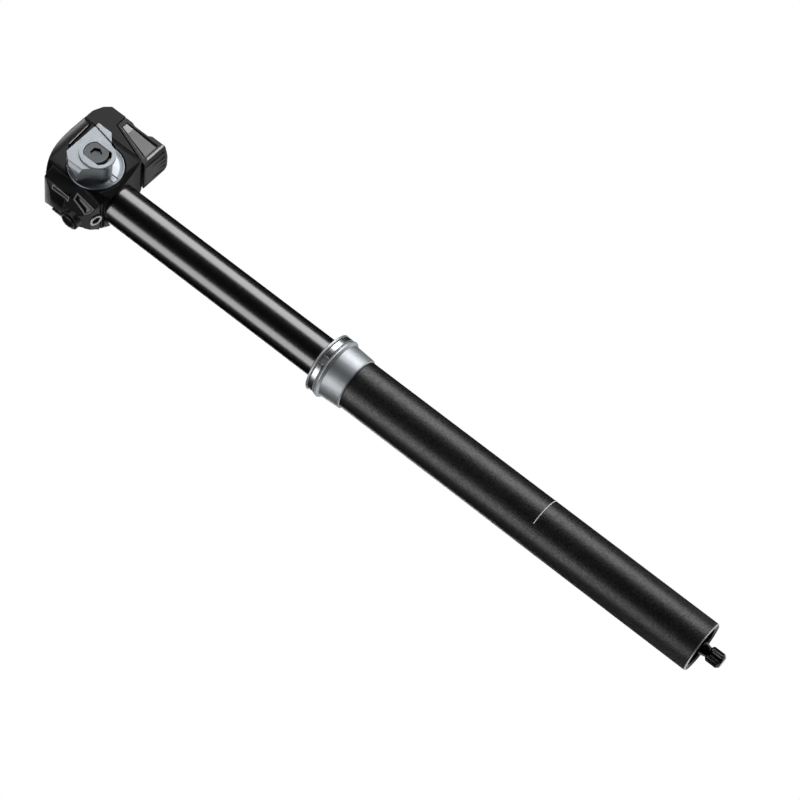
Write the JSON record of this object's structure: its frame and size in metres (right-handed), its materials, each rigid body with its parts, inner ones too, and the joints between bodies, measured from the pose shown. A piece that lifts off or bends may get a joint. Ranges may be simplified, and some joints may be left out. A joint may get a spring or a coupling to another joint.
{
  "type": "dropper seatpost",
  "caption": "Wireless dropper seatpost: a stanchion slides in a lower tube on an air spring with a hydraulic lock, under a head with battery, button and side-bolt saddle clamp.",
  "frame": {"origin": "on the post's axis at the collar's lower edge, where the lower tube enters the seat tube", "axes": "+Z along the post towards the saddle, +X to the rear (battery), -X to the front (control nose)"},
  "size_m": [0.0725, 0.06, 0.4843],
  "materials": {
    "tube_black": "matte anodised, fine grain",
    "stanchion_black": "gloss anodised",
    "collar_silver": "satin turned",
    "clamp_silver": "bead blasted satin",
    "head_black": "satin anodised",
    "cover_black": "moulded satin",
    "panel_grey": "moulded satin",
    "bolt_grey": "dark zinc",
    "steel": "ground",
    "brass": "machined",
    "seal_rubber": "matte",
    "bushing": "low friction plastic",
    "inner_alloy": "machined",
    "board_green": "solder mask",
    "cell_wrap": "shrink wrap"
  },
  "bodies": {
    "lower": {"lower_tube": "tube_black", "seal_collar": "collar_silver", "split_ring": "steel", "wiper_seal": "seal_rubber", "foam_ring": "seal_rubber", "upper_bushing": "bushing", "end_plug": "cover_black", "plug_seal": "seal_rubber", "bottom_bumper": "seal_rubber", "piston_rod": "steel", "piston": "inner_alloy", "piston_seal": "seal_rubber", "piston_nut": "steel", "valve_stem": "cover_black", "valve_core": "brass"},
    "cap": {"valve_cap": "cover_black"},
    "upper": {"stanchion": "stanchion_black", "guide_keys": "brass", "lower_bushing": "bushing", "rod_guide": "inner_alloy", "rod_seal": "seal_rubber", "top_out_bumper": "seal_rubber", "damper_tube": "inner_alloy", "valve_block": "inner_alloy", "block_seal": "seal_rubber", "spool_spring": "steel", "gear_motor": "inner_alloy", "head_shell": "head_black", "front_cover": "cover_black", "circuit_board": "board_green", "board_screws": "steel", "status_windows": "panel_grey", "port_ring": "collar_silver", "port_plug": "seal_rubber", "battery_contacts": "brass"},
    "float": {"floating_piston": "inner_alloy", "floating_seals": "seal_rubber"},
    "spool": {"release_spool": "steel"},
    "cam": {"release_cam": "brass"},
    "button": {"power_button": "cover_black"},
    "battery": {"battery_case": "cover_black", "battery_cell": "cell_wrap", "battery_panels": "panel_grey"},
    "latch": {"battery_latch": "cover_black"},
    "clamp": {"near_cradle": "clamp_silver", "far_cradle": "clamp_silver", "near_ear": "clamp_silver", "far_ear": "clamp_silver", "barrel_nut": "bolt_grey"},
    "bolt": {"clamp_bolt": "bolt_grey"}
  },
  "joints": [
    {"name": "post_slide", "type": "slide", "parent": "lower", "child": "upper", "axis": [0, 0, 1], "range_m": [-0.15, 0]},
    {"name": "float_shift", "type": "slide", "parent": "upper", "child": "float", "axis": [0, 0, 1], "range_m": [-0.162, 0]},
    {"name": "cam_turn", "type": "hinge", "parent": "upper", "child": "cam", "pos_m": [0, 0, 0.1888], "axis": [1, 0, 0], "range_deg": [0, 100]},
    {"name": "spool_press", "type": "slide", "parent": "upper", "child": "spool", "axis": [0, 0, -1], "range_m": [0, 0.0014], "stiffness_N_per_m": 300, "deforming": ["spool_spring"]},
    {"name": "button_press", "type": "slide", "parent": "upper", "child": "button", "axis": [1, 0, 0], "range_m": [0, 0.0012], "stiffness_N_per_m": 1500},
    {"name": "battery_pull", "type": "slide", "parent": "upper", "child": "battery", "axis": [1, 0, 0], "range_m": [0, 0.03]},
    {"name": "latch_press", "type": "slide", "parent": "battery", "child": "latch", "axis": [0, 0, -1], "range_m": [0, 0.002], "stiffness_N_per_m": 800},
    {"name": "clamp_tilt", "type": "hinge", "parent": "upper", "child": "clamp", "pos_m": [0.00175, 0, 0.1983], "axis": [0, 1, 0], "range_deg": [-15, 15]},
    {"name": "bolt_turn", "type": "hinge", "parent": "clamp", "child": "bolt", "pos_m": [0.00175, 0, 0.1983], "axis": [0, 1, 0], "continuous": true},
    {"name": "cap_pull", "type": "slide", "parent": "lower", "child": "cap", "axis": [0, 0, -1], "range_m": [0, 0.012]}
  ],
  "couplings": [
    {"joint": "float_shift", "follows": "post_slide", "ratio": 1.0782},
    {"joint": "cam_turn", "follows": "spool_press", "rad_per_m": 1246.7}
  ]
}
